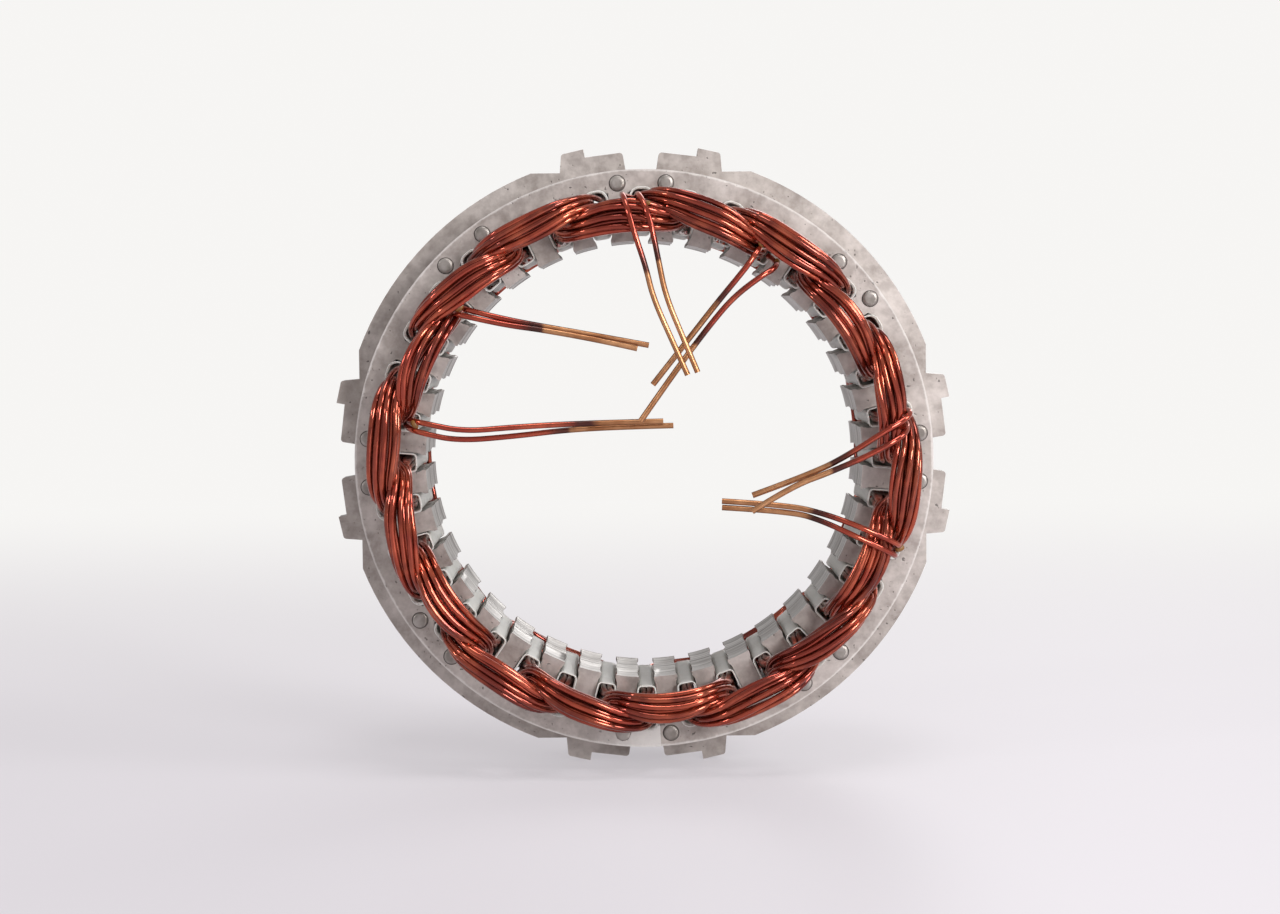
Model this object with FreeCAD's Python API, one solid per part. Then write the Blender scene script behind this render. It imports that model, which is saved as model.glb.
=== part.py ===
import FreeCAD, Part
import os
from math import acos, cos, degrees, radians, sin, sqrt, tan

# Alternator stator: a slotted steel core riveted from three packs, a wound
# strip at the front and rear and lugged flange sheets between them, with film
# slot liners and a three-phase wave winding of enamelled copper wire, two
# wires in hand.
# The bore axis is Y, the connection side faces -Y, +Z is up, and the origin
# is on the bore axis at the middle of the core's length. Angles are in
# degrees, clockwise from the top as seen from the connection side.

# ---- Core ----
SHEET = 0.5                 # thickness of one steel sheet
FRONT_SHEETS = 25           # turns of strip in the front pack
FLANGE_SHEETS = 8           # stamped sheets in the flange pack
REAR_SHEETS = 27            # turns of strip in the rear pack
SLOTS = 36
BORE_RADIUS = 52.0
SLOT_DEPTH = 12.7           # from the bore to the deepest point of a slot
YOKE_DEPTH = 4.2            # solid steel between a slot and the pack's rim
SLOT_BOTTOM_RISE = 1.3      # height of the slanted corners of the slot bottom
SLOT_BOTTOM_FLAT = 3.2      # width of the flat between them
TOOTH_WIDTH = 4.8
MOUTH_WIDTH = 3.55          # slot opening at the bore
TIP_EDGE = 0.7              # thickness of a tooth tip at the slot opening
TIP_DEPTH = 1.7             # where the tooth tip has run out into the tooth's side

# ---- Outline of the flange pack ----
FLANGE_RISE = 4.8           # of the flange over the pack's rim
TAB_RISE = 2.0              # of the tall end of a lug over the flange
LUG_GROUPS = 4              # one bolt gap with a lug on each side in every group
FLAT_DROP = 4.95            # of the flat that a pair of lugs stands on, under the flange's rim
GAP_HALF_WIDTH = 3.6        # bolt gap, at its floor
LUG_START_ANGLE = 3.45
TAB_START_ANGLE = 10.55
TAB_END_ANGLE = 14.7
TAB_FOOT_ANGLE = 15.9
LUG_CORNER_RADIUS = 0.8

# ---- Free end of the wound strip, on the front face ----
SEAM_ANGLE = 177.3
SEAM_RUN = 22.0             # length over which the last turn sinks to the face

# ---- Rivets ----
RIVET_RADIUS = 1.8
RIVET_INSET = 3.05          # of a rivet's middle from the pack's rim
RIVET_CLEARANCE = 0.1
RIVET_STAND = 0.6           # how far a rivet's end stands out of the face
RIVET_SIDES = 8
RIVET_ANGLES = (5, 45, 55, 85, 95, 135, 145, 175, 185, 225, 235, 265, 275, 315, 325, 355)

# ---- Slot liners ----
LINER_FILM = 0.25
LINER_CLEARANCE = 0.1
LINER_STAND = 1.75          # how far a liner stands out of each face
LINER_MOUTH_GAP = 0.3       # between a liner's inner end and the tooth tips

# ---- Winding ----
WIRE_DIAMETER = 1.3
POLE_PITCH_SLOTS = 3        # slots spanned by one end turn
WINDING_CLEARANCE = 0.15
BUNDLE_HALF = 2.4           # half the thickness of a bundle of end turns
BUNDLE_BULGE = 0.9          # how far the middle of a bundle's sides bulges
OVERHANG = 15.0             # end turns, from the core's face to their crown
OUTER_BAND_INSET = 2.7      # of the middle of the bundles that pass outside, from the slot bottoms
BAND_GAP = 0.4              # between the bundles that pass outside and inside
CROWN_RELAX = 0.4           # share of the way to the mean radius taken at a crown
BEND_SHARE = 0.06           # place of an end turn's bend, as a share of its span
BEND_HEIGHT = 8.3
BEND_TILT = 58
SHOULDER_SHARE = 0.26
SHOULDER_HEIGHT = 12.0
SHOULDER_TILT = 18
TAIL_STEPS = 7              # spans in one lead tail
TAIL_SIDES = 6

# ---- Worked out from the sizes above ----
SLOT_RADIUS = BORE_RADIUS + SLOT_DEPTH
PACK_RADIUS = SLOT_RADIUS + YOKE_DEPTH
FLANGE_RADIUS = PACK_RADIUS + FLANGE_RISE
TAB_RADIUS = FLANGE_RADIUS + TAB_RISE
FLAT_DISTANCE = FLANGE_RADIUS - FLAT_DROP
RIVET_CIRCLE_RADIUS = PACK_RADIUS - RIVET_INSET
OUTER_BAND_RADIUS = SLOT_RADIUS - OUTER_BAND_INSET
INNER_BAND_RADIUS = OUTER_BAND_RADIUS - 2 * BUNDLE_HALF - BAND_GAP
FRONT_LENGTH = FRONT_SHEETS * SHEET
REAR_LENGTH = REAR_SHEETS * SHEET
FLANGE_LENGTH = FLANGE_SHEETS * SHEET
HALF_STACK = (FRONT_LENGTH + FLANGE_LENGTH + REAR_LENGTH) / 2
SLOT_PITCH = 360.0 / SLOTS
END_TURN_ANGLE = POLE_PITCH_SLOTS * SLOT_PITCH
CROWN_HEIGHT = OVERHANG - BUNDLE_HALF

# ---- Lead tails, two wires in hand at each end of a phase ----
# Each route is chosen by hand: (right, forward of the front face, up) in millimetres.
PHASE_A_TAILS = [
    [(-1.4, 3.5, 61.8), (-4.6, 8.0, 62.3), (-4.6, 13.4, 62.6), (-3.6, 17.0, 59.4),
     (-2.0, 18.2, 53.5), (0.6, 18.4, 45.7), (2.2, 18.0, 38.5), (6.7, 18.0, 28.2), (10.0, 18.0, 20.7)],
    [(0.0, 3.5, 62.0), (-1.2, 8.0, 62.5), (-0.9, 13.4, 62.6), (0.7, 17.0, 59.4),
     (2.2, 18.2, 54.1), (3.5, 18.4, 47.2), (5.1, 18.0, 38.9), (9.0, 18.0, 29.3), (12.3, 18.0, 21.3)],
    [(28.6, 4.0, 49.4), (27.6, 9.0, 50.0), (26.8, 13.0, 49.4), (23.8, 14.5, 45.2),
     (17.2, 14.0, 37.4), (11.0, 14.0, 29.6), (2.0, 14.0, 18.4)],
    [(29.6, 4.0, 48.0), (31.4, 8.5, 46.6), (30.6, 12.5, 45.0), (26.8, 14.0, 42.9),
     (20.7, 14.0, 38.3), (15.2, 14.0, 31.9), (7.9, 14.0, 22.4), (-0.9, 14.0, 10.0)],
]
PHASE_B_TAILS = [
    [(61.0, 4.0, 11.6), (62.0, 10.0, 12.0), (61.6, 15.0, 10.4), (55.4, 16.8, 7.1),
     (47.3, 16.5, 1.9), (39.2, 16.2, -2.3), (24.8, 16.0, -7.4)],
    [(61.2, 4.0, 9.8), (62.0, 10.5, 8.2), (59.8, 16.2, 5.9), (52.9, 17.3, 2.2),
     (43.0, 17.6, -2.0), (33.7, 17.8, -5.3), (24.6, 17.8, -11.0)],
    [(58.2, 4.0, -20.2), (60.0, 10.0, -20.6), (58.0, 15.2, -18.9), (49.8, 16.8, -15.0),
     (41.3, 14.6, -11.9), (33.0, 13.2, -10.0), (17.9, 12.0, -9.0)],
    [(57.6, 4.0, -22.0), (59.2, 10.0, -22.9), (56.8, 15.2, -21.1), (48.3, 16.8, -17.0),
     (40.7, 14.6, -13.5), (33.9, 13.2, -11.5), (17.9, 12.0, -10.5)],
]
PHASE_C_TAILS = [
    [(-43.2, 4.0, 37.0), (-42.6, 9.0, 36.8), (-40.4, 12.2, 36.0), (-31.6, 12.4, 33.8),
     (-23.6, 12.0, 32.2), (-9.5, 11.6, 29.6), (1.2, 11.6, 27.5)],
    [(-44.0, 4.0, 35.6), (-44.4, 9.0, 35.4), (-42.6, 12.6, 35.0), (-31.6, 13.2, 32.5),
     (-23.6, 13.2, 31.4), (-9.5, 13.2, 28.7), (-1.5, 13.2, 26.8)],
    [(-56.0, 4.0, 10.6), (-54.6, 9.0, 10.4), (-51.6, 12.0, 10.0), (-42.2, 12.2, 7.9),
     (-30.2, 11.4, 8.8), (-13.3, 10.4, 9.5), (4.4, 10.2, 9.7)],
    [(-56.2, 4.0, 9.0), (-55.2, 9.0, 8.6), (-52.4, 11.6, 7.8), (-43.6, 11.8, 5.7),
     (-30.3, 10.4, 6.6), (-16.9, 8.8, 8.0), (-1.2, 8.6, 8.5), (6.8, 8.6, 8.6)],
]


def local(across, outward, angle, along=0.0):
    """Point given across and along a radius that lies at the angle."""
    turn = radians(angle)
    x = across * cos(turn) + outward * sin(turn)
    z = outward * cos(turn) - across * sin(turn)
    return FreeCAD.Vector(x, along, z)


def polar(radius, angle, along=0.0):
    return local(0.0, radius, angle, along)


def line(start, end):
    return Part.makeLine(start, end)


def arc(start, middle, end):
    return Part.Arc(start, middle, end).toShape()


def slot_half_width(outward):
    """Half the width of a slot between its two parallel-sided teeth."""
    half_pitch = radians(SLOT_PITCH / 2)
    return outward * tan(half_pitch) - TOOTH_WIDTH / 2 / cos(half_pitch)


# ---- Core packs ----
def slot_side(sign):
    """Corners of one side of a slot, from the bore to the slot bottom."""
    mouth = sign * MOUTH_WIDTH / 2
    lip = sqrt(BORE_RADIUS ** 2 - mouth ** 2)
    shoulder = BORE_RADIUS + TIP_DEPTH
    corner = SLOT_RADIUS - SLOT_BOTTOM_RISE
    return [
        (mouth, lip),
        (mouth, lip + TIP_EDGE),
        (sign * slot_half_width(shoulder), shoulder),
        (sign * slot_half_width(corner), corner),
        (sign * SLOT_BOTTOM_FLAT / 2, SLOT_RADIUS),
    ]


def slotted_bore():
    """Closed outline of the bore with all its slots."""
    edges = []
    for number in range(SLOTS):
        angle = number * SLOT_PITCH
        left = [local(x, z, angle) for x, z in slot_side(-1)]
        right = [local(x, z, angle) for x, z in slot_side(1)]
        corners = left + right[::-1]
        edges += [line(a, b) for a, b in zip(corners, corners[1:])]
        next_angle = angle + SLOT_PITCH
        next_x, next_z = slot_side(-1)[0]
        tooth_middle = polar(BORE_RADIUS, angle + SLOT_PITCH / 2)
        edges.append(arc(right[0], tooth_middle, local(next_x, next_z, next_angle)))
    return Part.Wire(edges)


def rivet_outline(radius, angle):
    """A circle this small is drawn with a few flats."""
    points = []
    for number in range(RIVET_SIDES):
        turn = radians(360.0 * number / RIVET_SIDES)
        across = radius * sin(turn)
        outward = RIVET_CIRCLE_RADIUS + radius * cos(turn)
        points.append(local(across, outward, angle))
    return Part.makePolygon(points + points[:1])


def round_outline():
    return Part.Wire(Part.makeCircle(PACK_RADIUS, FreeCAD.Vector(), FreeCAD.Vector(0, 1, 0)))


def extruded(outlines, start, length):
    """The first outline less the others, from the plane y = start."""
    face = Part.makeFace(outlines, "Part::FaceMakerBullseye")
    face.translate(FreeCAD.Vector(0, start, 0))
    return face.extrude(FreeCAD.Vector(0, length, 0))


def pack(outline, start, length):
    """Slotted and riveted sheets of one outline, from the plane y = start."""
    hole_radius = RIVET_RADIUS + RIVET_CLEARANCE
    holes = [rivet_outline(hole_radius, angle) for angle in RIVET_ANGLES]
    return extruded([outline, slotted_bore()] + holes, start, length)


def strip_end():
    """The last turn of the wound strip: a full sheet at the seam, sinking to the face."""
    sheets = pack(round_outline(), -HALF_STACK - SHEET, 2 * SHEET)
    inner = BORE_RADIUS / 2
    corners = [(0.0, SHEET), (0.0, -SHEET), (2 * SEAM_RUN, SHEET)]
    points = [local(across, inner, SEAM_ANGLE, -HALF_STACK + rise) for across, rise in corners]
    ramp = Part.Face(Part.makePolygon(points + points[:1]))
    ramp = ramp.extrude(polar(PACK_RADIUS, SEAM_ANGLE))
    return ramp.common(sheets)


def front_core():
    strip = pack(round_outline(), -HALF_STACK, FRONT_LENGTH)
    return strip.fuse(strip_end()).removeSplitter()


def rear_core():
    return pack(round_outline(), HALF_STACK - REAR_LENGTH, REAR_LENGTH)


# ---- Flange pack ----
def lug_outline():
    """Flange outline: four groups of two mirrored lugs, with a bolt gap between."""
    chord_end = degrees(acos(FLAT_DISTANCE / FLANGE_RADIUS))
    foot = local(FLAT_DISTANCE * tan(radians(TAB_FOOT_ANGLE)), FLAT_DISTANCE, 0)
    half = [
        local(GAP_HALF_WIDTH, FLAT_DISTANCE, 0),
        polar(FLANGE_RADIUS, LUG_START_ANGLE),
        polar(FLANGE_RADIUS, TAB_START_ANGLE),
        polar(TAB_RADIUS, TAB_START_ANGLE),
        polar(TAB_RADIUS, TAB_END_ANGLE),
        foot,
        polar(FLANGE_RADIUS, chord_end),
    ]
    group_angle = 360.0 / LUG_GROUPS
    edges = []
    for number in range(LUG_GROUPS):
        angle = number * group_angle
        right = [local(p.x, p.z, angle) for p in half]
        left = [local(-p.x, p.z, angle) for p in reversed(half)]
        corners = left + right
        edges += [line(a, b) for a, b in zip(corners, corners[1:])]
        next_start = local(-half[-1].x, half[-1].z, angle + group_angle)
        middle = polar(FLANGE_RADIUS, angle + group_angle / 2)
        edges.append(arc(corners[-1], middle, next_start))
    return Part.Wire(edges)


def flange_pack():
    """The lugged sheets, with the outer corners of the lugs rounded."""
    solid = pack(lug_outline(), FRONT_LENGTH - HALF_STACK, FLANGE_LENGTH)
    edges = []
    for edge in solid.Edges:
        middle = edge.CenterOfMass
        radius = sqrt(middle.x ** 2 + middle.z ** 2)
        along_axis = edge.BoundBox.YLength > FLANGE_LENGTH * 0.9
        angle = degrees(acos(max(abs(middle.x), abs(middle.z)) / radius))
        at_end = abs(radius - TAB_RADIUS) < SHEET / 2 and abs(angle - TAB_END_ANGLE) < 0.1
        at_gap = abs(radius - FLANGE_RADIUS) < SHEET / 2 and abs(angle - LUG_START_ANGLE) < 0.1
        if along_axis and (at_end or at_gap):
            edges.append(edge)
    return solid.makeFillet(LUG_CORNER_RADIUS, edges)


# ---- Rivets ----
def rivets():
    length = 2 * (HALF_STACK + RIVET_STAND)
    solids = [
        extruded([rivet_outline(RIVET_RADIUS, angle)], -length / 2, length)
        for angle in RIVET_ANGLES
    ]
    return Part.makeCompound(solids)


# ---- Slot liners ----
def liner_outline(inset, angle):
    """Closed outline of the film, the inset away from the slot's walls."""
    corner = SLOT_RADIUS - SLOT_BOTTOM_RISE - inset
    low = BORE_RADIUS + TIP_DEPTH + LINER_MOUTH_GAP + inset
    right = [
        (slot_half_width(low) - inset, low),
        (slot_half_width(corner) - inset, corner),
        (SLOT_BOTTOM_FLAT / 2, SLOT_RADIUS - inset),
    ]
    left = [(-x, z) for x, z in reversed(right)]
    points = [local(x, z, angle) for x, z in right + left]
    return Part.makePolygon(points + points[:1])


def slot_liner(angle):
    outer = liner_outline(LINER_CLEARANCE, angle)
    inner = liner_outline(LINER_CLEARANCE + LINER_FILM, angle)
    length = 2 * (HALF_STACK + LINER_STAND)
    return extruded([outer, inner], -length / 2, length)


# ---- Winding ----
def skin(sections, closed):
    """Solid through sections of equally many points, with flat ends unless closed."""
    if closed:
        sections = sections + sections[:1]
        faces = []
    else:
        ends = (sections[0], sections[-1])
        faces = [Part.Face(Part.makePolygon(end + end[:1])) for end in ends]
    for near, far in zip(sections, sections[1:]):
        near_loop = near + near[:1]
        far_loop = far + far[:1]
        for i in range(len(near)):
            a, b = near_loop[i], near_loop[i + 1]
            c, d = far_loop[i + 1], far_loop[i]
            for corners in ([a, b, c, a], [a, c, d, a]):
                faces.append(Part.Face(Part.makePolygon(corners)))
    shell = Part.makeShell(faces)
    shell.sewShape()
    solid = Part.makeSolid(shell)
    if solid.Volume < 0:
        solid.reverse()
    return solid


def bundle_section(low_half, high_half, low, high, bulge):
    """Six-sided section of a bundle as (across, outward) corners."""
    middle_half = (low_half + high_half) / 2 + bulge
    right = [(low_half, low), (middle_half, (low + high) / 2), (high_half, high)]
    left = [(-x, z) for x, z in reversed(right)]
    return right + left


def slot_section():
    """The bundle inside its liner, filling the slot."""
    inset = LINER_CLEARANCE + LINER_FILM + WINDING_CLEARANCE
    low = BORE_RADIUS + TIP_DEPTH + LINER_MOUTH_GAP + inset
    high = SLOT_RADIUS - SLOT_BOTTOM_RISE - inset
    low_half = slot_half_width(low) - inset
    high_half = slot_half_width(high) - inset
    return bundle_section(low_half, high_half, low, high, 0.0)


def end_section(radius):
    flat = BUNDLE_HALF - BUNDLE_BULGE
    return bundle_section(flat, flat, radius - BUNDLE_HALF, radius + BUNDLE_HALF, BUNDLE_BULGE)


def place_section(section, angle, height, tilt, side):
    """Set a section across the path: tilt 90 leaves the slot, 0 runs round the ring."""
    out = FreeCAD.Vector(0, side, 0)
    around = local(1.0, 0.0, angle)
    normal = (around * sin(radians(tilt)) - out * cos(radians(tilt))) * side
    base = out * (HALF_STACK + height)
    return [base + polar(outward, angle) + normal * across for across, outward in section]


def end_turn(start_angle, start_radius, end_radius, side):
    """Sections from one slot's mouth over to the next slot of the same phase."""
    mean_radius = (OUTER_BAND_RADIUS + INNER_BAND_RADIUS) / 2
    crown_radius = (start_radius + end_radius) / 2
    crown_radius += (mean_radius - crown_radius) * CROWN_RELAX
    exit_height = 2 * LINER_STAND
    stations = [
        # share of the span, height, tilt, section
        (0.0, exit_height, 90, slot_section()),
        (BEND_SHARE, BEND_HEIGHT, BEND_TILT, end_section(start_radius)),
        (SHOULDER_SHARE, SHOULDER_HEIGHT, SHOULDER_TILT, end_section(start_radius)),
        (0.5, CROWN_HEIGHT, 0, end_section(crown_radius)),
        (1 - SHOULDER_SHARE, SHOULDER_HEIGHT, -SHOULDER_TILT, end_section(end_radius)),
        (1 - BEND_SHARE, BEND_HEIGHT, -BEND_TILT, end_section(end_radius)),
        (1.0, exit_height, -90, slot_section()),
    ]
    sections = []
    for share, height, tilt, section in stations:
        angle = start_angle + share * END_TURN_ANGLE
        sections.append(place_section(section, angle, height, tilt, side))
    return sections


def lead_tail(route):
    """One wire that leaves its bundle; the route is (right, forward of the face, up)."""
    points = [FreeCAD.Vector(right, -HALF_STACK - forward, up) for right, forward, up in route]
    curve = Part.BSplineCurve()
    curve.interpolate(points)
    sections = []
    first = curve.FirstParameter
    last = curve.LastParameter
    across = FreeCAD.Vector(0, 0, 1)
    for step in range(TAIL_STEPS + 1):
        place = first + (last - first) * step / TAIL_STEPS
        forward = curve.tangent(place)[0]
        across = (across - forward * across.dot(forward)).normalize()
        over = forward.cross(across)
        centre = curve.value(place)
        sections.append([
            centre + (across * cos(turn) + over * sin(turn)) * (WIRE_DIAMETER / 2)
            for turn in [radians(360.0 * i / TAIL_SIDES) for i in range(TAIL_SIDES)]
        ])
    return skin(sections, False)


def phase_winding(first_slot_angle, start_radius, end_radius, tails):
    """A closed wave that crosses to the next pole at the front and at the rear by turns."""
    sections = []
    for number in range(SLOTS // POLE_PITCH_SLOTS):
        angle = first_slot_angle + number * END_TURN_ANGLE
        side = 1 if number % 2 else -1
        sections += end_turn(angle, start_radius, end_radius, side)
    wave = skin(sections, True)
    return wave.multiFuse([lead_tail(route) for route in tails])


if __name__ == "__main__":
    os.makedirs("parts", exist_ok=True)
    outer = OUTER_BAND_RADIUS
    inner = INNER_BAND_RADIUS
    nodes = {
        "front_core": front_core(),
        "flange_pack": flange_pack(),
        "rear_core": rear_core(),
        "rivets": rivets(),
        "phase_a_winding": phase_winding(0.0, outer, inner, PHASE_A_TAILS),
        "phase_b_winding": phase_winding(20.0, outer, outer, PHASE_B_TAILS),
        "phase_c_winding": phase_winding(40.0, inner, inner, PHASE_C_TAILS),
    }
    for number in range(SLOTS):
        nodes["slot_liner_%02d" % number] = slot_liner(number * SLOT_PITCH)
    for name, shape in nodes.items():
        shape.exportStep("parts/%s.step" % name)
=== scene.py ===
# %% [markdown]
# # An alternator stator, dressed round its CAD frame
#
# The object is the standing part of a car alternator: a slotted steel ring that
# carries a wave winding of enamelled copper wire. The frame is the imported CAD
# model. It gives the steel packs their exact shape and place, so this file only
# adds what a plain solid cannot show: single sheets, rolled rivets, thin film,
# separate wires and the wear on all of them.

# %% Load the frame
import random
from math import atan2, cos, degrees, pi, radians, sin, sqrt

import bmesh
import bpy
from mathutils import Matrix, Vector, kdtree


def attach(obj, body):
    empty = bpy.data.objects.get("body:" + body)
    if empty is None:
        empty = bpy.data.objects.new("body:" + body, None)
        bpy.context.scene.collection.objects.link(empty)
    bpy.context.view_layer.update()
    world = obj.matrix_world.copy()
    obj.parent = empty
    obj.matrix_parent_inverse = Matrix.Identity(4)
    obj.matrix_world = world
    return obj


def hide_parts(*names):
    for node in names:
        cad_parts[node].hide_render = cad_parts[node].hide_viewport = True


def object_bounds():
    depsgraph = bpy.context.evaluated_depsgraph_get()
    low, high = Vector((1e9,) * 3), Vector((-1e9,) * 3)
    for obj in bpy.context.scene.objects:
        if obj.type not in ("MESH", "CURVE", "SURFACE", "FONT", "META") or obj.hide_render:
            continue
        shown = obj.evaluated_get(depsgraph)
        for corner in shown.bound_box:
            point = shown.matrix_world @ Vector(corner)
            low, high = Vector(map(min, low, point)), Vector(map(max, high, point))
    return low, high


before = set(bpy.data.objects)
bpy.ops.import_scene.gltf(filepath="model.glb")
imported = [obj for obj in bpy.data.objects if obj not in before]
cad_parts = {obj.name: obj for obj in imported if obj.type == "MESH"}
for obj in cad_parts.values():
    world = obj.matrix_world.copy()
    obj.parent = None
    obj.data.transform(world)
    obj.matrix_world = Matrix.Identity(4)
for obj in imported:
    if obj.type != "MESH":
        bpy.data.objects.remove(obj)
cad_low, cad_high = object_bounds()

print("frame nodes:", len(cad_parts), "box:", tuple(cad_low), tuple(cad_high))

# %% [markdown]
# ## Sizes and a way to point at places
#
# The bore axis is Y and the connection side faces -Y. Every place on a stator
# is easiest to give as a radius, a clock angle and a depth, so one helper turns
# those three into a point. The sizes are in metres, and are the CAD model's own,
# but for the wire, which is a little thicker here.

# %% Sizes
MM = 0.001
PACK_RADIUS = 68.9 * MM
HALF_STACK = 15.0 * MM
SHEET = 0.5 * MM
FRONT_END = -2.5 * MM       # where the front pack meets the flange sheets
REAR_START = 1.5 * MM       # where the flange sheets meet the rear pack
SLOTS = 36
SLOT_PITCH = 360 / SLOTS
WIRE_RADIUS = 0.7 * MM
dice = random.Random(36)


def clock(radius, angle, depth=0.0):
    """Point at a radius and a clock angle in degrees, seen from the connection side."""
    turn = radians(angle)
    return Vector((radius * sin(turn), depth, radius * cos(turn)))


print("slot pitch:", SLOT_PITCH, "degrees")

# %% [markdown]
# ## Writing materials as sums
#
# A procedural material is a small sum: so much noise, times a mask, plus a base
# tone. Wiring it node by node hides that sum. A socket wrapped in a class that
# overloads the operators lets the sum be written as one line of Python, and
# each operator adds its own Math node.

# %% A socket that can be added and multiplied


class Socket:
    def __init__(self, tree, link):
        self.tree = tree
        self.link = link

    def node(self, kind, settings=None, out=0, **inputs):
        return add_node(self.tree, kind, settings, out, **inputs)

    def math(self, operation, *values):
        named = {str(i): value for i, value in enumerate(values)}
        return self.node("ShaderNodeMath", {"operation": operation}, **named)

    def __add__(self, other):
        return self.math("ADD", self, other)

    def __sub__(self, other):
        return self.math("SUBTRACT", self, other)

    def __rsub__(self, other):
        return self.math("SUBTRACT", other, self)

    def __mul__(self, other):
        return self.math("MULTIPLY", self, other)

    def __pow__(self, other):
        return self.math("POWER", self, other)

    __radd__ = __add__
    __rmul__ = __mul__

    def between(self, low, high):
        """0 below low, 1 above high, and a smooth step from one to the other."""
        settings = {"interpolation_type": "SMOOTHSTEP"}
        ends = {"From Min": low, "From Max": high}
        return self.node("ShaderNodeMapRange", settings, Value=self, **ends)


def add_node(tree, kind, settings=None, out=0, **inputs):
    """Any node: its settings first, then the values or links of its sockets."""
    made = tree.nodes.new(kind)
    for name, value in (settings or {}).items():
        setattr(made, name, value)
    for name, value in inputs.items():
        socket = made.inputs[int(name)] if name.isdigit() else made.inputs[name]
        if isinstance(value, Socket):
            tree.links.new(value.link, socket)
        else:
            if socket.type == "RGBA" and len(value) == 3:
                value = (*value, 1.0)
            socket.default_value = value
    return Socket(tree, made.outputs[out])


def blend_colours(tree, share, first, second):
    """Mix node between two colours; the share is 0 for the first and 1 for the second."""
    made = tree.nodes.new("ShaderNodeMix")
    made.data_type = "RGBA"
    for number, value in ((0, share), (6, first), (7, second)):
        socket = made.inputs[number]
        if isinstance(value, Socket):
            tree.links.new(value.link, socket)
        else:
            socket.default_value = value if isinstance(value, float) else (*value, 1.0)
    return Socket(tree, made.outputs[2])


def new_material(name, **constants):
    """Material with one Principled shader; the constants are set on its own sockets."""
    material = bpy.data.materials.new(name)
    material.use_nodes = True
    shader = material.node_tree.nodes["Principled BSDF"]
    for socket, value in constants.items():
        shader.inputs[socket.replace("_", " ")].default_value = value
    return material, material.node_tree, shader


def feed(tree, shader, **links):
    """Link what changes over the surface to the shader's sockets."""
    for socket, value in links.items():
        tree.links.new(value.link, shader.inputs[socket.replace("_", " ")])


def place_of(tree):
    """Object coordinates, and their three numbers."""
    where = add_node(tree, "ShaderNodeTexCoord", out=3)
    return where, split(tree, where)


def split(tree, vector):
    """The three numbers of a vector."""
    made = add_node(tree, "ShaderNodeSeparateXYZ", Vector=vector).link.node
    return [Socket(tree, output) for output in made.outputs]


def noise(tree, where, scale, detail=3.0, roughness=0.55, stretch=None):
    if stretch:
        where = add_node(tree, "ShaderNodeMapping", Vector=where, Scale=stretch)
    return add_node(tree, "ShaderNodeTexNoise", Vector=where, Scale=scale, Detail=detail,
                    Roughness=roughness)


def bump(tree, height, distance, strength=1.0):
    return add_node(tree, "ShaderNodeBump", Height=height, Distance=distance, Strength=strength)


def mix_shaders(tree, share, first, second):
    """Mix Shader between two shader outputs, wired to the material's output."""
    mixed = add_node(tree, "ShaderNodeMixShader", Fac=share).link.node
    tree.links.new(first, mixed.inputs[1])
    tree.links.new(second, mixed.inputs[2])
    tree.links.new(mixed.outputs[0], tree.nodes["Material Output"].inputs[0])


print("material helpers ready")

# %% [markdown]
# ## Electrical steel
#
# Stator sheets are cold-rolled steel with a thin grey coating. Punching leaves
# the faces dull and mottled, the cut edges brighter, and a rub or pit wherever
# the ring has been knocked. One material serves the three packs. It is mottled
# and warmer on the flat faces and streaked and greyer on the edges, which it
# tells apart by the direction of the surface. A noise stretched along the sheets
# gives the edges their streaks.
# The free end of the wound strip rises off the front face, and the light it catches is painted: a
# bright wedge low on the front face is a painted highlight.

# %% Steel material
SEAM_LEAN = 0.0472          # how far the seam leans over for each unit of height
SEAM_RUN = 22 * MM          # how far the raised end takes to sink to the face
STEP_WIDTH = 0.1 * MM


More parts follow.
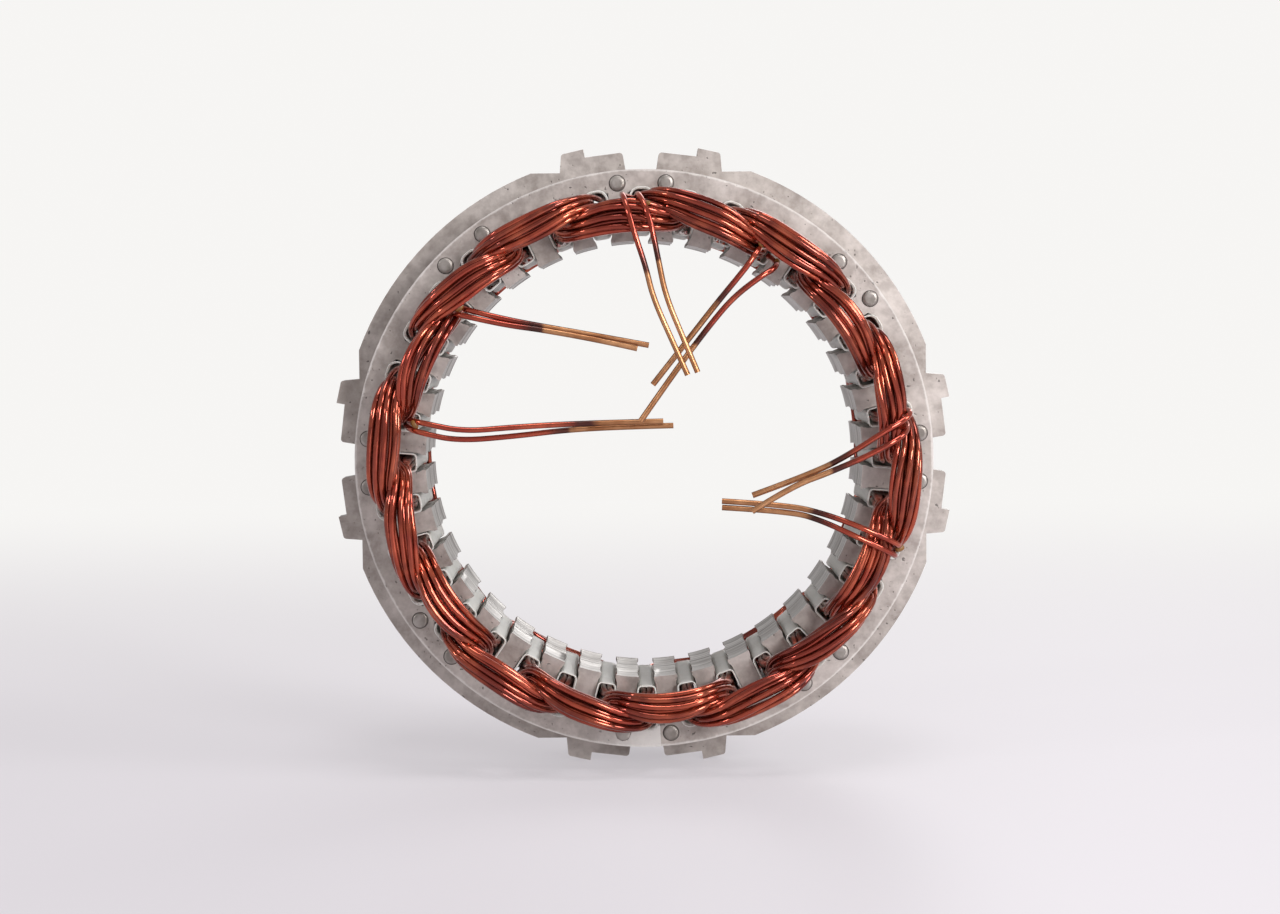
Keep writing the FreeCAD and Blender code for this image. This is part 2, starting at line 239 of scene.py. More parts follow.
def steel_material():
    material, tree, shader = new_material("electrical_steel", Metallic=0.72, Specular_IOR_Level=0.5)
    where, (x, y, z) = place_of(tree)
    normal = add_node(tree, "ShaderNodeNewGeometry", out=1)
    facing = where.math("ABSOLUTE", split(tree, normal)[1])
    radius = (x * x + z * z) ** 0.5
    cloud = noise(tree, where, 95.0)
    grain = noise(tree, where, 900.0, 2.0)
    pits = noise(tree, where, 900.0, 1.0).between(0.7, 0.78)
    stain = noise(tree, where, 38.0, 4.0, 0.65).between(0.5, 0.72)
    streaks = noise(tree, where, 60.0, 3.0, 0.7, stretch=(0.25, 16.0, 0.25))
    mottle = noise(tree, where, 330.0, 3.0, 0.7)
    tone = cloud.between(0.28, 0.72) * 0.6 + mottle.between(0.3, 0.7) * 0.4
    face = blend_colours(tree, tone, (0.30, 0.258, 0.235), (0.62, 0.56, 0.525))
    streak = streaks.between(0.3, 0.7)
    edge = blend_colours(tree, streak, (0.22, 0.20, 0.185), (0.66, 0.635, 0.61))
    on_face = facing.between(0.55, 0.9)
    colour = blend_colours(tree, on_face, edge, face)
    colour = blend_colours(tree, stain * 0.35, colour, (0.23, 0.195, 0.17))
    colour = blend_colours(tree, pits * on_face * 0.75, colour, (0.10, 0.09, 0.085))
    # Painted highlight: a near-white wedge beside the seam, low on the front face, stands for the
    # light on the raised strip end.
    past_seam = x + z * SEAM_LEAN
    on_pack = radius.between(PACK_RADIUS + STEP_WIDTH, PACK_RADIUS)
    strip_end_highlight = past_seam.between(-SEAM_RUN, 0.0) * past_seam.between(2 * STEP_WIDTH, 0.0)
    strip_end_highlight = strip_end_highlight * on_face * z.between(-58 * MM, -62 * MM) * on_pack
    colour = blend_colours(tree, strip_end_highlight * 0.7, colour, (0.86, 0.84, 0.81))
    # Painted highlight: a thin near-white band just inside the outer edge of the flat faces stands
    # for the light on the burred rim.
    ragged = radius + (mottle - 0.5) * 0.9 * MM
    rim = ragged.between(PACK_RADIUS - 0.6 * MM, PACK_RADIUS - 0.2 * MM) * on_face
    rim = rim * radius.between(PACK_RADIUS + 0.5 * MM, PACK_RADIUS + STEP_WIDTH)
    colour = blend_colours(tree, rim * 0.55, colour, (0.82, 0.79, 0.76))
    rough = 0.33 + mottle * 0.2 + pits * 0.2 + stain * 0.08
    height = grain * 0.35 + mottle * 0.8 + streaks * (1 - on_face) * 0.9 - pits * 0.8
    feed(tree, shader, Base_Color=colour, Roughness=rough, Normal=bump(tree, height, 0.00006, 0.55))
    return material


steel = steel_material()
print("steel nodes:", len(steel.node_tree.nodes))

# %% [markdown]
# ## The packs as single sheets
#
# Each pack is a pile of half-millimetre sheets, or turns of one strip, and the
# joints between them show as fine lines along the bore and the rim. Cutting the
# CAD solid across at every joint, and again in the middle of every sheet, gives
# rings of vertices. Pulling the joint rings a few hundredths of a millimetre
# into the steel leaves a real groove there, and the shape of the pack stays as
# the CAD made it.

# %% Cut a pack into sheets
GROOVE = 0.045 * MM


def only(items, kind):
    """The items of one kind, such as the vertices that an operator made."""
    return [item for item in items if isinstance(item, kind)]


def merged_copy(node):
    """A bmesh of a CAD node with its loose triangles joined."""
    mesh = bmesh.new()
    mesh.from_mesh(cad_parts[node].data)
    bmesh.ops.remove_doubles(mesh, verts=mesh.verts, dist=1e-6)
    bmesh.ops.dissolve_limit(mesh, angle_limit=radians(0.5), verts=mesh.verts, edges=mesh.edges)
    return mesh


def add_piece(data, name, slot, materials, *nodes):
    """Add a mesh as a piece that rides on the frame and stands for CAD nodes."""
    piece = bpy.data.objects.new(name, data)
    bpy.context.scene.collection.objects.link(piece)
    for material in materials:
        data.materials.append(material)
    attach(piece, "root")
    if nodes:
        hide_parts(*nodes)
    print(name, "triangles:", sum(len(face.vertices) - 2 for face in data.polygons))


def finish_piece(mesh, name, slot, materials, *nodes):
    """Turn a bmesh into a piece, with its faces pointing outwards."""
    bmesh.ops.recalc_face_normals(mesh, faces=mesh.faces)
    data = bpy.data.meshes.new(name)
    mesh.to_mesh(data)
    mesh.free()
    add_piece(data, name, slot, materials, *nodes)


def sheet_stack(node, first, last):
    """Cut grooves at the joints between the sheets from the first to the last plane."""
    mesh = merged_copy(node)
    joints = round((last - first) / SHEET)
    for step in range(1, 2 * joints):
        plane = (0.0, first + step * SHEET / 2, 0.0)
        everything = mesh.verts[:] + mesh.edges[:] + mesh.faces[:]
        cut = bmesh.ops.bisect_plane(mesh, geom=everything, plane_co=plane,
                                     plane_no=(0, 1, 0), dist=1e-7)
        if step % 2 == 0:
            mesh.normal_update()
            depth = GROOVE * dice.uniform(0.5, 1.3)
            for vertex in only(cut["geom_cut"], bmesh.types.BMVert):
                inward = Vector((vertex.normal.x, 0.0, vertex.normal.z)).normalized()
                vertex.co -= inward * depth
    return mesh


front_mesh = sheet_stack("front_core", -HALF_STACK, FRONT_END)
finish_piece(front_mesh, "front_strip_pack", "core_steel", [steel], "front_core")
flange_mesh = sheet_stack("flange_pack", FRONT_END, REAR_START)
finish_piece(flange_mesh, "flange_sheets", "core_steel", [steel], "flange_pack")
rear_mesh = sheet_stack("rear_core", REAR_START, HALF_STACK)
finish_piece(rear_mesh, "rear_strip_pack", "core_steel", [steel], "rear_core")

# %% [markdown]
# ## Rivets
#
# Sixteen steel rivets clamp the packs together. A rivet end is a flat disc whose rim the tool has
# rounded over. Each one is a circle extruded through the stack and bevelled at both ends, with an
# inset that leaves the shallow dish of the setting tool. The thin dark rings round them are painted
# shade for the gap between rivet and hole; they are circles too, extruded and laid on both faces.

# %% Rivet finish and rivets
RIVET_RADIUS = 1.8 * MM
RIVET_STAND = 0.6 * MM
RIVET_CIRCLE = 65.85 * MM
RIVET_ANGLES = (5, 45, 55, 85, 95, 135, 145, 175, 185, 225, 235, 265, 275, 315, 325, 355)
RIVET_SIDES = 28
RIM_ROUND = 0.34 * MM
DISH_WALL, DISH_DEPTH = 0.35 * MM, 0.07 * MM
GAP_SHADE_RADIUS = 2.0 * MM
GAP_SHADE_INNER = 0.87          # the ring's inner radius as a share of its outer one
GAP_SHADE_LIFT = 0.02 * MM
ALONG_BORE = Matrix.Rotation(radians(90), 4, "X")


def rivet_material():
    material, tree, shader = new_material("rivet_steel", Metallic=0.8, Specular_IOR_Level=0.5)
    where, _ = place_of(tree)
    cloud = noise(tree, where, 260.0, 3.0)
    rub = noise(tree, where, 700.0, 2.0, 0.6, stretch=(1.0, 1.0, 4.0))
    tone = cloud.between(0.3, 0.7)
    colour = blend_colours(tree, tone, (0.22, 0.195, 0.175), (0.40, 0.365, 0.34))
    dents = bump(tree, cloud + rub * 0.4, 0.00005, 0.5)
    feed(tree, shader, Base_Color=colour, Roughness=0.3 + rub * 0.2, Normal=dents)
    return material


# Painted shade: a near-black material for the thin rings that stand for the shaded gap round each
# rivet.
def grime_material():
    material, tree, shader = new_material("gap_shade", Metallic=0.1)
    where, _ = place_of(tree)
    cloud = noise(tree, where, 900.0, 2.0)
    colour = blend_colours(tree, cloud, (0.035, 0.03, 0.028), (0.13, 0.115, 0.105))
    gap_shade_bump = bump(tree, cloud, 0.00004, 0.5)
    feed(tree, shader, Base_Color=colour, Roughness=0.6 + cloud * 0.3, Normal=gap_shade_bump)
    return material


rivet_steel = rivet_material()
gap_shade = grime_material()
rivet_mesh = bmesh.new()
half_length = HALF_STACK + RIVET_STAND
for angle in RIVET_ANGLES:
    start = len(rivet_mesh.verts)
    made = bmesh.ops.create_circle(rivet_mesh, cap_ends=True, segments=RIVET_SIDES,
                                   radius=RIVET_RADIUS, matrix=ALONG_BORE)
    cap = made["verts"][0].link_faces[0]
    far = bmesh.ops.extrude_face_region(rivet_mesh, geom=[cap], use_keep_orig=True)["geom"]
    bmesh.ops.translate(rivet_mesh, verts=made["verts"], vec=(0, -half_length, 0))
    bmesh.ops.translate(rivet_mesh, verts=only(far, bmesh.types.BMVert),
                        vec=(0, half_length, 0))
    caps = [cap] + only(far, bmesh.types.BMFace)
    rims = {edge for face in caps for edge in face.edges}
    bmesh.ops.bevel(rivet_mesh, geom=list(rims), offset=RIM_ROUND, segments=3, profile=0.5,
                    affect="EDGES", material=-1)
    rivet_mesh.verts.ensure_lookup_table()
    faces = {face for vertex in rivet_mesh.verts[start:] for face in vertex.link_faces}
    ends = [face for face in faces if len(face.verts) == RIVET_SIDES]
    bmesh.ops.inset_individual(rivet_mesh, faces=ends, thickness=DISH_WALL, depth=-DISH_DEPTH)
    rivet_mesh.verts.ensure_lookup_table()
    bmesh.ops.translate(rivet_mesh, verts=rivet_mesh.verts[start:],
                        vec=clock(RIVET_CIRCLE, angle))
for face in rivet_mesh.faces:
    face.smooth = len(face.verts) == 4
# Painted shade: a thin dark ring on each face round every rivet, where the gap between rivet and
# hole lies in shadow.
for angle in RIVET_ANGLES:
    for side in (-1, 1):
        place = clock(RIVET_CIRCLE, angle, side * (HALF_STACK + GAP_SHADE_LIFT))
        ring = bmesh.ops.create_circle(rivet_mesh, segments=RIVET_SIDES, radius=GAP_SHADE_RADIUS,
                                       matrix=Matrix.Translation(place) @ ALONG_BORE)
        rim = list({edge for vertex in ring["verts"] for edge in vertex.link_edges})
        grown = bmesh.ops.extrude_edge_only(rivet_mesh, edges=rim)["geom"]
        inner = only(grown, bmesh.types.BMVert)
        bmesh.ops.scale(rivet_mesh, verts=inner, vec=(GAP_SHADE_INNER, 1, GAP_SHADE_INNER),
                        space=Matrix.Translation(-clock(RIVET_CIRCLE, angle)))
        for face in {face for vertex in inner for face in vertex.link_faces}:
            face.material_index = 1
finish_piece(rivet_mesh, "rolled_rivets", "rivet_steel", [rivet_steel, gap_shade], "rivets")

# %% [markdown]
# ## Slot liners
#
# A folded sleeve of thin polyester film lines every slot and stands a little
# proud of both faces, where it has been pushed open. The film is milky, so light
# that falls on one side glows on the other: a Translucent shader is mixed into
# the glossy one. The sleeve is one rounded outline, extruded along the slot,
# flared at both ends, given a wall by solidify, and spun round the bore.

# %% Film and liners
FILM = 0.2 * MM
LINER_STAND = 1.7 * MM      # how far the film stands out of each face
LINER_OUTLINE = [(1.98, 54.2), (2.72, 63.0), (1.55, 64.45),
                 (-1.55, 64.45), (-2.72, 63.0), (-1.98, 54.2)]
LINER_ROUND = 0.85 * MM
LINER_STEPS = (1.15 * MM, 1.2 * MM, 28.7 * MM, 1.2 * MM, 1.15 * MM)
LINER_MIDDLE = 59.3 * MM    # the place in the slot that the flare opens from
FLARE = (1.10, 1, 1.055)
UNEVEN_TRIM = 0.022         # how unevenly the film's ends are cut, as a share


def film_material():
    material, tree, shader = new_material("slot_film", IOR=1.5)
    where, _ = place_of(tree)
    cloud = noise(tree, where, 300.0, 3.0)
    tone = cloud.between(0.25, 0.75)
    colour = blend_colours(tree, tone, (0.86, 0.85, 0.81), (0.97, 0.97, 0.95))
    soil = noise(tree, where, 150.0, 3.0).between(0.58, 0.75)
    colour = blend_colours(tree, soil * 0.4, colour, (0.62, 0.54, 0.42))
    feed(tree, shader, Base_Color=colour, Roughness=0.28 + cloud * 0.25,
         Normal=bump(tree, cloud, 0.0001, 0.4))
    glow = add_node(tree, "ShaderNodeBsdfTranslucent", Color=(0.93, 0.93, 0.90))
    mix_shaders(tree, 0.45, shader.outputs[0], glow.link)
    return material


film = film_material()
liner_mesh = bmesh.new()
corners = [liner_mesh.verts.new((x * MM, -HALF_STACK - LINER_STAND, z * MM))
           for x, z in LINER_OUTLINE]
liner_mesh.faces.new(corners)
bmesh.ops.bevel(liner_mesh, geom=corners, offset=LINER_ROUND, segments=3, profile=0.5,
                affect="VERTICES", material=-1)
bmesh.ops.delete(liner_mesh, geom=liner_mesh.faces[:], context="FACES_ONLY")
loop = liner_mesh.edges[:]
rings = [liner_mesh.verts[:]]
for step in LINER_STEPS:
    grown = bmesh.ops.extrude_edge_only(liner_mesh, edges=loop)["geom"]
    loop = only(grown, bmesh.types.BMEdge)
    ring = only(grown, bmesh.types.BMVert)
    bmesh.ops.translate(liner_mesh, verts=ring, vec=(0, step, 0))
    rings.append(ring)
middle = Matrix.Translation((0, 0, -LINER_MIDDLE))
for ring in (rings[0], rings[-1]):
    bmesh.ops.scale(liner_mesh, verts=ring, vec=FLARE, space=middle)
bmesh.ops.solidify(liner_mesh, geom=liner_mesh.faces[:], thickness=FILM)
for face in liner_mesh.faces:
    face.smooth = True
everything = liner_mesh.verts[:] + liner_mesh.edges[:] + liner_mesh.faces[:]
bmesh.ops.spin(liner_mesh, geom=everything, cent=(0, 0, 0), axis=(0, 1, 0),
               angle=radians(360 - SLOT_PITCH), steps=SLOTS - 1, use_duplicate=True)
for vertex in liner_mesh.verts:
    if abs(vertex.co.y) > HALF_STACK + 1.2 * MM:
        number = round(degrees(atan2(vertex.co.x, vertex.co.z)) / SLOT_PITCH) % SLOTS
        vertex.co.y *= 1 + UNEVEN_TRIM * sin(number * 2.3)
finish_piece(liner_mesh, "film_liners", "liner_film", [film],
             *["slot_liner_%02d" % i for i in range(SLOTS)])

# %% [markdown]
# ## Enamelled copper wire
#
# Magnet wire is copper under a glossy red-brown enamel. A metal with a thin clear
# coat gives that look: the metal colours its own reflections red, and the coat
# adds a sharp white one. A random number for each separate wire, and a cloudy
# noise, change the tone a little, and darker patches stand for dried varnish.
# The lead ends are scraped bare and the enamel next to them is scorched black. A
# number stored along each lead, 0.1 where the bare copper starts, tells the
# material where it is on the wire.

# %% Wire material
BARE_MARK = 0.1


def wire_material():
    material, tree, shader = new_material("magnet_wire", Coat_Roughness=0.12)
    where, _ = place_of(tree)
    strand = add_node(tree, "ShaderNodeNewGeometry", out=8)
    patch = noise(tree, where, 130.0, 3.0)
    speck = noise(tree, where, 1400.0, 2.0)
    along = add_node(tree, "ShaderNodeAttribute", {"attribute_name": "along"}, 2)
    dark = blend_colours(tree, strand, (0.09, 0.007, 0.005), (0.32, 0.034, 0.017))
    lit = blend_colours(tree, patch, (0.50, 0.07, 0.03), (0.85, 0.22, 0.10))
    enamel = blend_colours(tree, patch.between(0.35, 0.75) * 0.45 + 0.08, dark, lit)
    varnish = noise(tree, where, 60.0, 3.0, 0.6).between(0.56, 0.7)
    enamel = blend_colours(tree, varnish * 0.55, enamel, (0.075, 0.012, 0.007))
    tone = patch.between(0.3, 0.7)
    copper = blend_colours(tree, tone, (0.34, 0.14, 0.06), (0.58, 0.30, 0.15))
    copper = blend_colours(tree, speck.between(0.6, 0.7) * 0.25, copper, (0.24, 0.09, 0.035))
    ragged = along + (patch - 0.5) * 0.004
    scorch = ragged.between(BARE_MARK - 0.008, BARE_MARK - 0.002)
    bare = ragged.between(BARE_MARK - 0.0006, BARE_MARK + 0.0012)
    colour = blend_colours(tree, scorch * 0.85, enamel, (0.018, 0.008, 0.006))
    colour = blend_colours(tree, bare, colour, copper)
    feed(tree, shader, Base_Color=colour, Metallic=0.8 + bare * 0.1,
         Roughness=0.07 + patch * 0.1 + bare * 0.2 + scorch * (1 - bare) * 0.2,
         Coat_Weight=(1 - bare) * 0.45,
         Normal=bump(tree, patch * 0.5 + speck * 0.12, 0.00008, 0.2))
    return material


wire = wire_material()
print("wire nodes:", len(wire.node_tree.nodes))

# %% [markdown]
# ## The wave winding, wire by wire
#
# Each phase is a wave of parallel wires that leaves a slot, leans over, runs
# round to the slot three places on, and goes down it to the other side. Every
# wire here is one closed NURBS curve through all its slots, with its own place
# in the bundle. It changes place from one end turn to the next, the bundle
# twists a little as it goes, and small errors in height and radius keep it from
# looking combed. A bevel gives the curve its thickness.

# %% Wires of the three phases
STRANDS = [(-1.5, -1.2), (0.0, -1.3), (1.5, -1.15), (-2.25, 0.0), (-0.75, 0.05),
           (0.75, -0.05), (2.25, 0.0), (-1.5, 1.2), (0.0, 1.3), (1.5, 1.15)]
IN_SLOT = [(-0.72, 55.6), (0.72, 55.75), (-0.78, 57.0), (0.76, 57.15), (-0.95, 58.4),
           (0.9, 58.5), (-1.2, 60.0), (1.15, 60.1), (-1.5, 61.9), (1.5, 62.0)]
TURN_STATIONS = [  # share of the span, height over the face, lean, how gathered, how fanned out
    (0.0, -4.0, 90, 0.0, 1.0), (0.0, 2.0, 90, 0.12, 1.0), (0.05, 7.0, 60, 0.85, 1.0),
    (0.2, 11.6, 22, 1.0, 1.1), (0.38, 12.7, 5, 1.0, 1.4), (0.62, 12.7, -5, 1.0, 1.4),
    (0.8, 11.6, -22, 1.0, 1.1), (0.95, 7.0, -60, 0.85, 1.0), (1.0, 2.0, -90, 0.12, 1.0),
    (1.0, -4.0, -90, 0.0, 1.0)]
MEAN_BAND = 59.2
SPAN = 3 * SLOT_PITCH       # a wave steps on by three slots
END_TURNS = 12
FARTHEST = 29.3             # how far from the middle the end turns may reach
RADIUS_SHIFT, HEIGHT_SHIFT = (-0.3, 0.3), (-0.45, 0.25)
UNEVEN = 0.2
TWIST = 50


def wave_points(strand, first_angle, start_radius, end_radius, lay):
    """Control points of one wire, all the way round."""
    points = []
    for turn in range(END_TURNS):
        side = 1 if turn % 2 else -1
        place = (strand + lay[turn][0]) % len(STRANDS)
        shift = (dice.uniform(*RADIUS_SHIFT), dice.uniform(*HEIGHT_SHIFT))
        for share, height, lean, gathered, fan in TURN_STATIONS:
            angle = first_angle + (turn + share) * SPAN
            moved = min(1.0, max(0.0, (share - 0.1) / 0.8))
            band = start_radius + (end_radius - start_radius) * moved
            band += (MEAN_BAND - band) * (fan - 1.0) * 1.1
            roll = radians(lay[turn][1] * (share - 0.5) * 2)
            u, v = STRANDS[place]
            u, v = u * cos(roll) - v * sin(roll) + shift[0], u * sin(roll) + v * cos(roll)
            u, v = u * fan, v / sqrt(fan)
            across, outward = IN_SLOT[place]
            radius = (band + u) * gathered + outward * (1 - gathered)
            offset = v * gathered + across * (1 - gathered)
            tilt = radians(lean)
            around = Vector((cos(radians(angle)), 0.0, -sin(radians(angle))))
            out = Vector((0.0, side, 0.0))
            normal = (around * sin(tilt) - out * cos(tilt)) * side
            rise = height + shift[1] * gathered + dice.uniform(-UNEVEN, UNEVEN) * gathered
            point = clock(radius * MM, angle) + out * (HALF_STACK + rise * MM)
            point += normal * offset * MM
            point.y = side * min(abs(point.y), FARTHEST * MM)
            points.append(point)
    return points


def wire_curve(name, paths, cyclic, thickness=WIRE_RADIUS, fine=3):
    """A curve object with one smooth spline for each path, bevelled to a wire."""
    curve = bpy.data.curves.new(name, "CURVE")
    curve.dimensions = "3D"
    curve.bevel_depth = thickness
    curve.bevel_resolution = 2
    curve.resolution_u = fine
    curve.use_fill_caps = True
    for path in paths:
        spline = curve.splines.new("NURBS")
        spline.points.add(len(path) - 1)
        for point, place in zip(spline.points, path):
            point.co = (*place, 1.0)
        spline.order_u = 3
        spline.use_cyclic_u = cyclic
        spline.use_endpoint_u = not cyclic
    return bpy.data.objects.new(name, curve)


def curve_mesh(holder):
    """The mesh that a curve object gives, and the curve taken away again."""
    bpy.context.scene.collection.objects.link(holder)
    graph = bpy.context.evaluated_depsgraph_get()
    made = bpy.data.meshes.new_from_object(holder.evaluated_get(graph))
    bpy.data.objects.remove(holder)
    return made


def add_wire_piece(data, name, node):
    """Add a mesh of wires, smooth on the sides and flat on the cut ends."""
    for face in data.polygons:
        face.use_smooth = len(face.vertices) == 4
    add_piece(data, name, "enamelled_copper", [wire], node)


OUTER_BAND, INNER_BAND = 62.0, 56.8
PHASES = {  # first clock angle, and the band's radius where an end turn starts and ends
    "a": (0.0, OUTER_BAND, INNER_BAND),
    "b": (20.0, OUTER_BAND, OUTER_BAND),
    "c": (40.0, INNER_BAND, INNER_BAND)}
for letter, (first_angle, start_radius, end_radius) in PHASES.items():
    lay = [(dice.randrange(len(STRANDS)), dice.uniform(-TWIST, TWIST)) for _ in range(END_TURNS)]
    paths = [wave_points(strand, first_angle, start_radius, end_radius, lay)
             for strand in range(len(STRANDS))]
    data = curve_mesh(wire_curve("phase_%s_wave" % letter, paths, True))
    add_wire_piece(data, "phase_%s_wires" % letter, "phase_%s_winding" % letter)

# %% [markdown]
# ## Lead tails
#
# The two wires in hand at each end of a phase come out of the bundle and reach across the bore,
# ready to be joined to the rectifier. They are stiff, so they are curves through a few listed
# points. After each becomes a mesh, every vertex stores how far along the wire it lies from the
# scraped end of the enamel, which the wire material reads.

# %% Leads
LEADS = {  # (right, forward of the face, up) in mm, then right and up where bare copper starts
    "phase_a_start_1": (
        [(-1.4, 3.5, 61.8), (-4.6, 8, 62.3), (-4.6, 13.4, 62.6), (-3.6, 17, 59.4),
         (-2, 18.2, 53.5), (0.6, 18.4, 45.7), (2.2, 18, 38.5), (6.7, 18, 28.2),
         (10, 18, 20.7)], (0.9, 44.4)),
    "phase_a_start_2": (
        [(0, 3.5, 62), (-1.2, 8, 62.5), (-0.9, 13.4, 62.6), (0.7, 17, 59.4),
         (2.2, 18.2, 54.1), (3.5, 18.4, 47.2), (5.1, 18, 38.9), (9, 18, 29.3),
         (12.3, 18, 21.3)], (3.6, 47.1)),
    "phase_a_end_1": (
        [(28.6, 4, 49.4), (27.6, 9, 50), (26.8, 13, 49.4), (23.8, 14.5, 45.2),
         (17.2, 14, 37.4), (11, 14, 29.6), (2, 14, 18.4)], (16.8, 37.4)),
    "phase_a_end_2": (
        [(29.6, 4, 48), (31.4, 8.5, 46.6), (30.6, 12.5, 45), (26.8, 14, 42.9),
         (20.7, 14, 38.3), (15.2, 14, 31.9), (7.9, 14, 22.4), (-0.9, 14, 10)], (11.6, 28.1)),
    "phase_b_start_1": (
        [(61, 4, 11.6), (62, 10, 12), (61.6, 15, 10.4), (55.4, 16.8, 7.1), (47.3, 16.5, 1.9),
         (39.2, 16.2, -2.3), (24.8, 16, -7.4)], (43.0, -1.2)),
    "phase_b_start_2": (
        [(61.2, 4, 9.8), (62, 10.5, 8.2), (59.8, 16.2, 5.9), (52.9, 17.3, 2.2),
         (43, 17.6, -2), (33.7, 17.8, -5.3), (24.6, 17.8, -11)], (43.0, -2.0)),
    "phase_b_end_1": (
        [(58.2, 4, -20.2), (60, 10, -20.6), (58, 15.2, -18.9), (49.8, 16.8, -15),
         (41.3, 14.6, -11.9), (33, 13.2, -10), (17.9, 12, -9)], (38.7, -12.3)),
    "phase_b_end_2": (
        [(57.6, 4, -22), (59.2, 10, -22.9), (56.8, 15.2, -21.1), (48.3, 16.8, -17),
         (40.7, 14.6, -13.5), (33.9, 13.2, -11.5), (17.9, 12, -10.5)], (38.7, -13.6)),
    "phase_c_start_1": (
        [(-43.2, 4, 37), (-42.6, 9, 36.8), (-40.4, 12.2, 36), (-31.6, 12.4, 33.8),
         (-23.6, 12, 32.2), (-9.5, 11.6, 29.6), (1.2, 11.6, 27.5)], (-23.5, 32.2)),
    "phase_c_start_2": (
        [(-44, 4, 35.6), (-44.4, 9, 35.4), (-42.6, 12.6, 35), (-31.6, 13.2, 32.5),
         (-23.6, 13.2, 31.4), (-9.5, 13.2, 28.7), (-1.5, 13.2, 26.8)], (-23.5, 31.4)),
    "phase_c_end_1": (
        [(-56, 4, 10.6), (-54.6, 9, 10.4), (-51.6, 12, 10), (-42.2, 12.2, 7.9),
         (-30.2, 11.4, 8.8), (-13.3, 10.4, 9.5), (4.4, 10.2, 9.7)], (-13.4, 9.5)),
    "phase_c_end_2": (
        [(-56.2, 4, 9), (-55.2, 9, 8.6), (-52.4, 11.6, 7.8), (-43.6, 11.8, 5.7),
         (-30.3, 10.4, 6.6), (-16.9, 8.8, 8), (-1.2, 8.6, 8.5), (6.8, 8.6, 8.6)], (-17.4, 7.9)),
}


def lead_mesh(route, bare_from):
    """A tube along a route, with the distance from the scraped place stored on it."""
    path = [Vector((right, -HALF_STACK / MM - forward, up)) * MM for right, forward, up in route]
    spine = curve_mesh(wire_curve("spine", [path], False, thickness=0.0, fine=12))
    places = [vertex.co.copy() for vertex in spine.vertices]
    lengths = [0.0]
    for near, far in zip(places, places[1:]):
        lengths.append(lengths[-1] + (far - near).length)
    tree = kdtree.KDTree(len(places))
    for number, place in enumerate(places):
        tree.insert(place, number)
    tree.balance()
    right, up = bare_from
    flat = [(Vector((place.x, place.z)) - Vector((right, up)) * MM).length for place in places]
    scraped = lengths[flat.index(min(flat))]
    tube = curve_mesh(wire_curve("tube", [path], False, fine=9))
    values = [BARE_MARK + lengths[tree.find(vertex.co)[1]] - scraped for vertex in tube.vertices]
    tube.attributes.new("along", "FLOAT", "POINT").data.foreach_set("value", values)
    return tube


for name, (route, bare_from) in LEADS.items():
    add_wire_piece(lead_mesh(route, bare_from), name + "_lead", name[:7] + "_winding")

# %% [markdown]
# ## Varnish
#
# The winding is dipped, and the varnish gathers in amber beads where the leads
# come out of the bundles. Each bead is a small sphere, squashed and roughened.

# %% Varnish beads
BEADS = [  # right, forward of the front face, up, and size
    (-3.6, 12.6, 60.6, 0.7), (1.2, 12.8, 60.4, 0.6), (27.6, 11.4, 51.0, 0.8),
    (31.2, 9.6, 46.4, 0.7), (60.6, 11.4, 11.0, 0.7), (59.4, 11.6, -20.6, 0.8),
    (-42.8, 10.8, 36.6, 0.8), (-53.6, 10.6, 9.6, 0.8)]
SQUASH = (1.5, 0.8, 1.0, 1.0)
LUMPS = 0.03 * MM


def varnish_material():
    material, tree, shader = new_material("varnish", IOR=1.5)
    where, _ = place_of(tree)
    cloud = noise(tree, where, 500.0, 3.0)
    colour = blend_colours(tree, cloud, (0.05, 0.016, 0.006), (0.36, 0.17, 0.04))
    feed(tree, shader, Base_Color=colour, Roughness=0.15 + cloud * 0.15,
         Normal=bump(tree, cloud, 0.0001, 0.4))
    return material


bead_mesh = bmesh.new()
for right, forward, up, size in BEADS:
    matrix = Matrix.Translation(Vector((right * MM, -HALF_STACK - forward * MM, up * MM)))
    matrix = matrix @ Matrix.Rotation(dice.uniform(0, pi), 4, "Y") @ Matrix.Diagonal(SQUASH)
    made = bmesh.ops.create_icosphere(bead_mesh, subdivisions=3, radius=size * MM, matrix=matrix)
    for vertex in made["verts"]:
        vertex.co += Vector([dice.uniform(-LUMPS, LUMPS) for _ in range(3)])
for face in bead_mesh.faces:
    face.smooth = True
finish_piece(bead_mesh, "varnish_beads", "enamelled_copper", [varnish_material()])

# %% [markdown]
# ## Floor and background
#
# The ring stands on a pale floor that fades into a near-white background; the floor's colour and
# glow are painted darker and more lilac towards the camera, as painted shade. The background is
# that bright to the camera and, in part, in reflections only, so it adds little light to the object
# and the floor keeps part of the ring's shadow.

# %% Floor and background
GLOSSY_SHARE = 0.25         # how much of the pale background metal shows
BACKGROUND = (0.925, 0.915, 0.9)
floor_mesh = bmesh.new()
bmesh.ops.create_grid(floor_mesh, x_segments=8, y_segments=8, size=6.0)
bmesh.ops.translate(floor_mesh, verts=floor_mesh.verts, vec=(0, 0, cad_low.z))
floor_data = bpy.data.meshes.new("floor")
floor_mesh.to_mesh(floor_data)
floor_mesh.free()
floor = bpy.data.objects.new("floor", floor_data)
bpy.context.scene.collection.objects.link(floor)


def background_rays(tree):
    """1 for the camera's rays and those through glass, less for those that metal reflects."""
    rays = add_node(tree, "ShaderNodeLightPath").link.node.outputs
    seen = Socket(tree, rays["Is Camera Ray"]) + Socket(tree, rays["Is Transmission Ray"])
    seen = seen + Socket(tree, rays["Is Glossy Ray"]) * GLOSSY_SHARE
    return seen.math("MINIMUM", seen, 1.0)


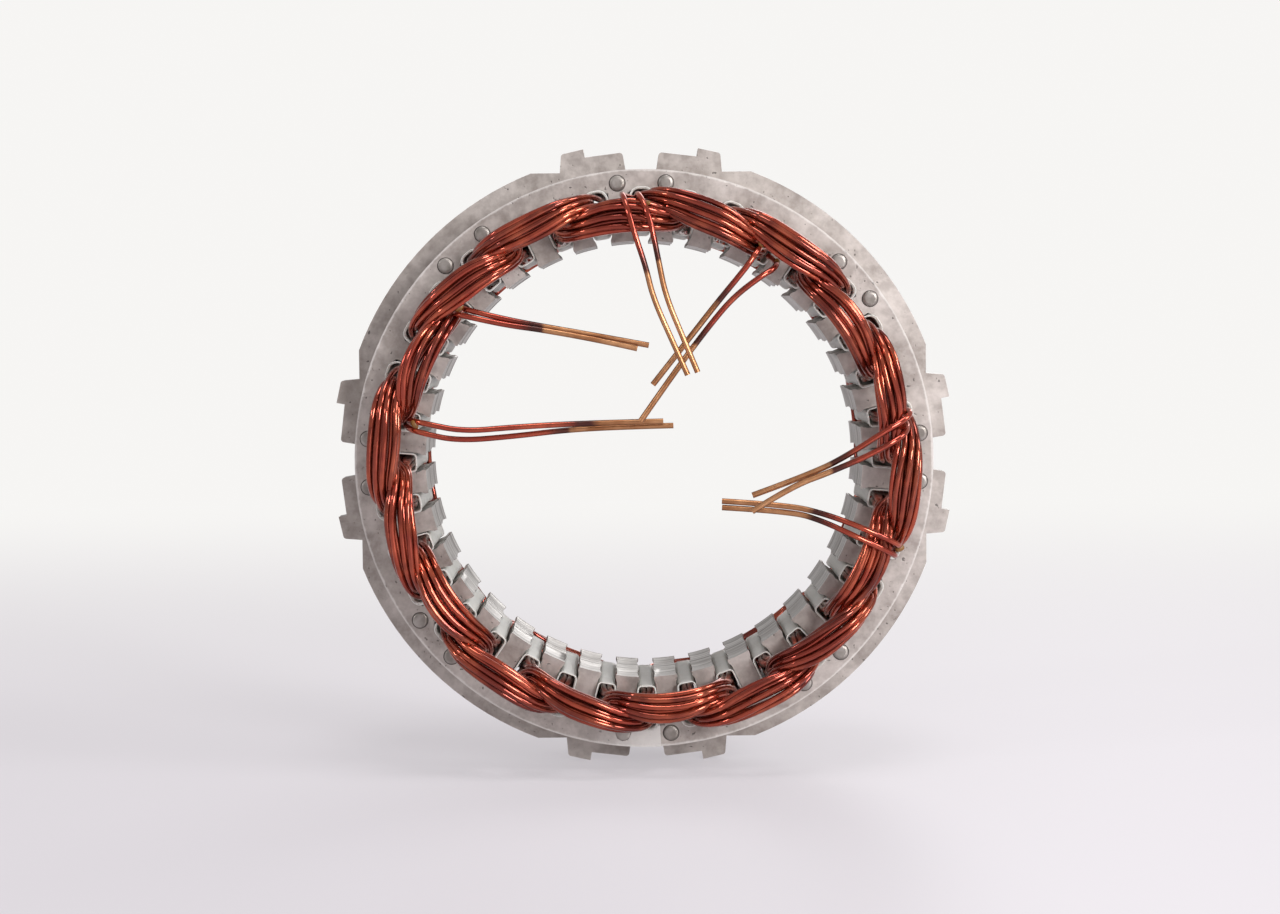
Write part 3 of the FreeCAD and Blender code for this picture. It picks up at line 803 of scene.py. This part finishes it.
def floor_material():
    material, tree, shader = new_material("floor", Roughness=0.45)
    _, (_, y, _) = place_of(tree)
    # Painted shade: the floor and its glow darken towards the camera, where they also turn lilac,
    # and are paler far off.
    far = y.between(-0.15, 0.75)
    feed(tree, shader, Base_Color=blend_colours(tree, far, (0.66, 0.63, 0.66), (0.68, 0.66, 0.67)))
    backdrop = blend_colours(tree, far, (0.80, 0.76, 0.80), BACKGROUND)
    pale = add_node(tree, "ShaderNodeEmission", Color=backdrop, Strength=1.0)
    share = (0.5 + far * 0.5) * background_rays(tree)
    mix_shaders(tree, share, shader.outputs[0], pale.link)
    return material


floor_data.materials.append(floor_material())
world = bpy.data.worlds.new("studio")
bpy.context.scene.world = world
world.use_nodes = True
tree = world.node_tree
sky = tree.nodes["Background"]
sky.inputs["Strength"].default_value = 1.0
shown = blend_colours(tree, background_rays(tree), (0.36, 0.355, 0.365), BACKGROUND)
tree.links.new(shown.link, sky.inputs["Color"])
print("floor at", cad_low.z, "world nodes:", len(tree.nodes))

# %% [markdown]
# ## Lamps
#
# Soft disc lamps stand round the ring. The key and side lamps on the right are
# the stronger ones, so the left of the ring falls into shade and the rounded
# wires get a clear bright line. A weak fill opens the shade, and a back lamp
# lights the side that faces away.

# %% Lamps


def lamp(name, place, size, power):
    """A disc lamp that points at the middle of the ring."""
    light = bpy.data.lights.new(name, "AREA")
    light.shape = "DISK"
    light.size = size
    light.energy = power
    holder = bpy.data.objects.new(name, light)
    holder.location = place
    holder.rotation_euler = (-Vector(place)).to_track_quat("-Z", "Y").to_euler()
    bpy.context.scene.collection.objects.link(holder)
    print(name, "lamp:", power, "W at", place)


lamp("key", (0.72, -1.25, 0.42), 0.42, 12.0)
lamp("side", (1.2, -0.5, 0.8), 0.5, 8.0)
lamp("top", (0.1, -0.3, 1.5), 0.6, 7.0)
lamp("fill", (-1.2, -0.7, 0.6), 0.2, 2.6)
lamp("back", (0.4, 1.3, 0.7), 0.8, 5.0)

# %% [markdown]
# ## Camera
#
# The camera looks almost straight down the bore, from a little above. Its axes
# are worked out from three small angles, and the matrix puts them in place.

# %% Camera
PITCH, YAW, ROLL = radians(3.74), radians(0.48), radians(0.6)
CAMERA_PLACE = Vector((-5.8 * MM, -585.0 * MM, 38.0 * MM))
ahead = Vector((sin(YAW) * cos(PITCH), cos(YAW) * cos(PITCH), -sin(PITCH)))
right = Vector((cos(YAW), -sin(YAW), 0))
above = right.cross(ahead)
right, above = right * cos(ROLL) - above * sin(ROLL), above * cos(ROLL) + right * sin(ROLL)
camera_data = bpy.data.cameras.new("camera")
camera_data.lens = 67.5
camera_data.sensor_width = 36.0
camera_data.clip_start = 0.05
camera = bpy.data.objects.new("camera", camera_data)
bpy.context.scene.collection.objects.link(camera)
turned = Matrix((right, above, -ahead)).transposed().to_4x4()
camera.matrix_world = Matrix.Translation(CAMERA_PLACE) @ turned
bpy.context.scene.camera = camera
bpy.context.scene.view_settings.view_transform = "Standard"
print("camera at", tuple(CAMERA_PLACE), "lens:", camera_data.lens, "mm")
